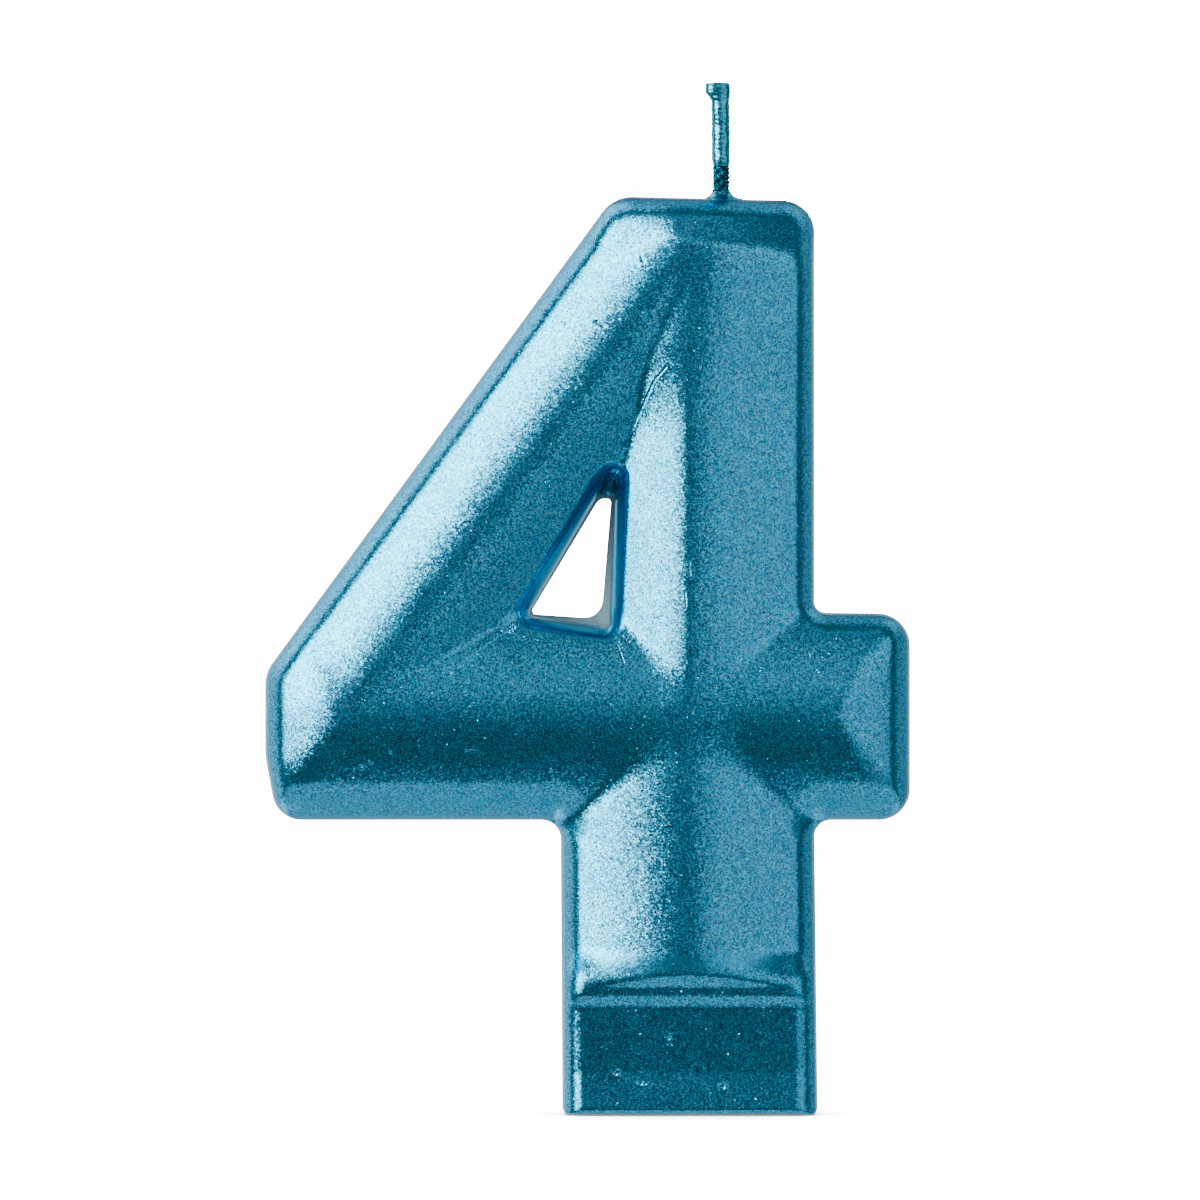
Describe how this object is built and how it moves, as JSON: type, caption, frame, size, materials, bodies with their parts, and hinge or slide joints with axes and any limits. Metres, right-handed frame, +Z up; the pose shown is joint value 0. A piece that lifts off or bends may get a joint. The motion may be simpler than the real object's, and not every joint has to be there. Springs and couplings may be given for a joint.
{
  "type": "number birthday candle",
  "caption": "Moulded wax candle in the shape of the numeral 4, metallic blue, with rounded ridged strokes, a flat thinned foot to push into a cake, and a braided wick.",
  "frame": {"origin": "middle of the foot's underside, on the parting plane between the two mould halves", "axes": "+X to the reader's right across the numeral, -Y towards the reader, +Z up along the stem to the wick"},
  "size_m": [0.0516, 0.013, 0.0825],
  "materials": {
    "wax": "uncoloured cast paraffin wax, satin, seen only under the foot",
    "metallic_blue": "thin pearlescent metallic blue dip coat on wax, satin, fine flake grain",
    "cotton": "braided cotton wick soaked with blue dip",
    "dried_dip": "dried pearlescent dip on the wick, paler and slightly rough"
  },
  "bodies": {
    "root": {"wax_core": "wax", "metallic_coat": "metallic_blue", "wick": "cotton", "wick_sleeve": "dried_dip"}
  },
  "joints": []
}
